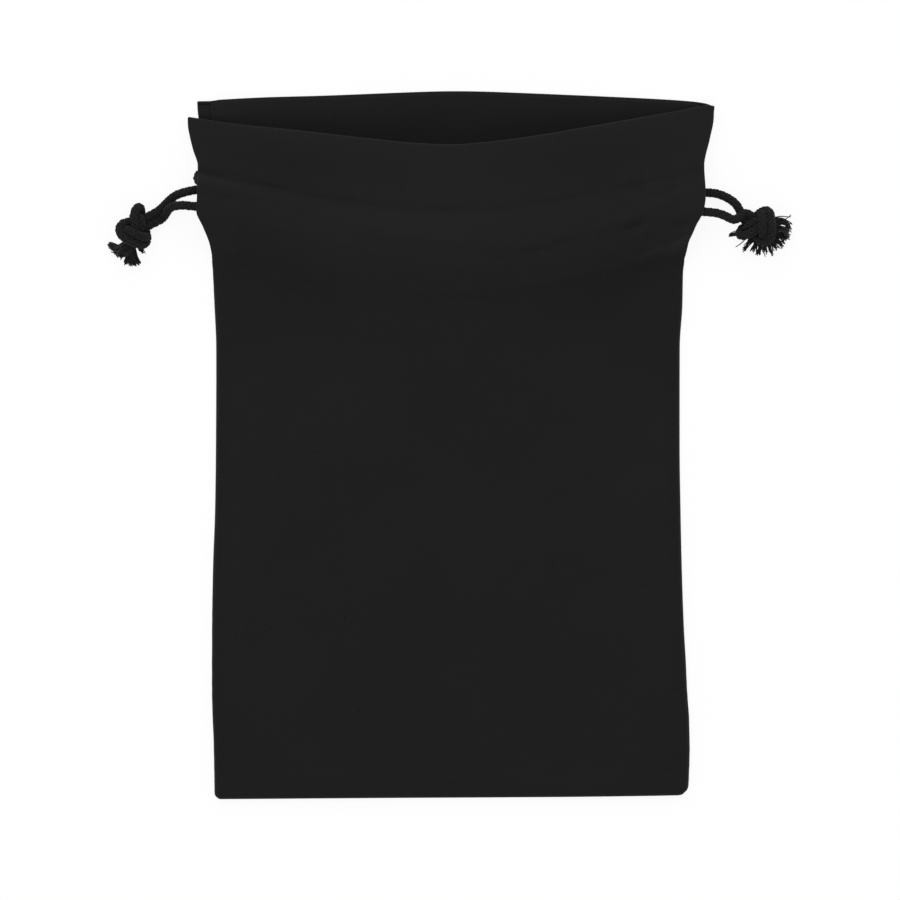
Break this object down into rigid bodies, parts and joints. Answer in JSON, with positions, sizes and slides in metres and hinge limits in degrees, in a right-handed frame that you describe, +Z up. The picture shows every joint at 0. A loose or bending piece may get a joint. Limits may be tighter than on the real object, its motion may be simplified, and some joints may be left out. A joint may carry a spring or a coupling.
{
  "type": "soft pouch glasses case",
  "caption": "Flat cotton drawstring pouch for glasses, with a stitched cord casing below a loose header and a knotted drawcord tail at each side.",
  "frame": {"origin": "middle of the rectangle that the pouch covers on the surface it lies on, measured without the free cord ends", "axes": "+X to the right, +Y from the bottom seam to the mouth, +Z up from the surface, with the front panel on top"},
  "size_m": [0.1701, 0.177, 0.0221],
  "materials": {
    "cotton": "plain-weave black cotton, matt",
    "thread": "black polyester sewing thread, faint sheen",
    "cord": "braided black cotton cord, matt"
  },
  "bodies": {
    "pouch": {"back_panel": "cotton", "front_panel": "cotton", "back_hem": "cotton", "front_hem": "cotton", "left_seam_allowance": "cotton", "right_seam_allowance": "cotton", "bottom_seam_allowance": "cotton", "left_seam_thread": "thread", "right_seam_thread": "thread", "bottom_seam_thread": "thread", "front_header_stitch": "thread", "front_casing_stitch": "thread", "back_header_stitch": "thread", "back_casing_stitch": "thread", "left_front_slit_hem": "cotton", "left_back_slit_hem": "cotton", "right_front_slit_hem": "cotton", "right_back_slit_hem": "cotton", "left_cord_run": "cord", "right_cord_run": "cord"},
    "left_cord_end": {"left_front_tail": "cord", "left_back_tail": "cord", "left_knot": "cord", "left_frayed_ends": "cord"},
    "right_cord_end": {"right_front_tail": "cord", "right_back_tail": "cord", "right_knot": "cord", "right_frayed_ends": "cord"}
  },
  "joints": [
    {"name": "left_cord_pull", "type": "slide", "parent": "pouch", "child": "left_cord_end", "axis": [-1, 0, 0], "range_m": [0, 0.012]},
    {"name": "right_cord_pull", "type": "slide", "parent": "pouch", "child": "right_cord_end", "axis": [1, 0, 0], "range_m": [0, 0.012]}
  ]
}
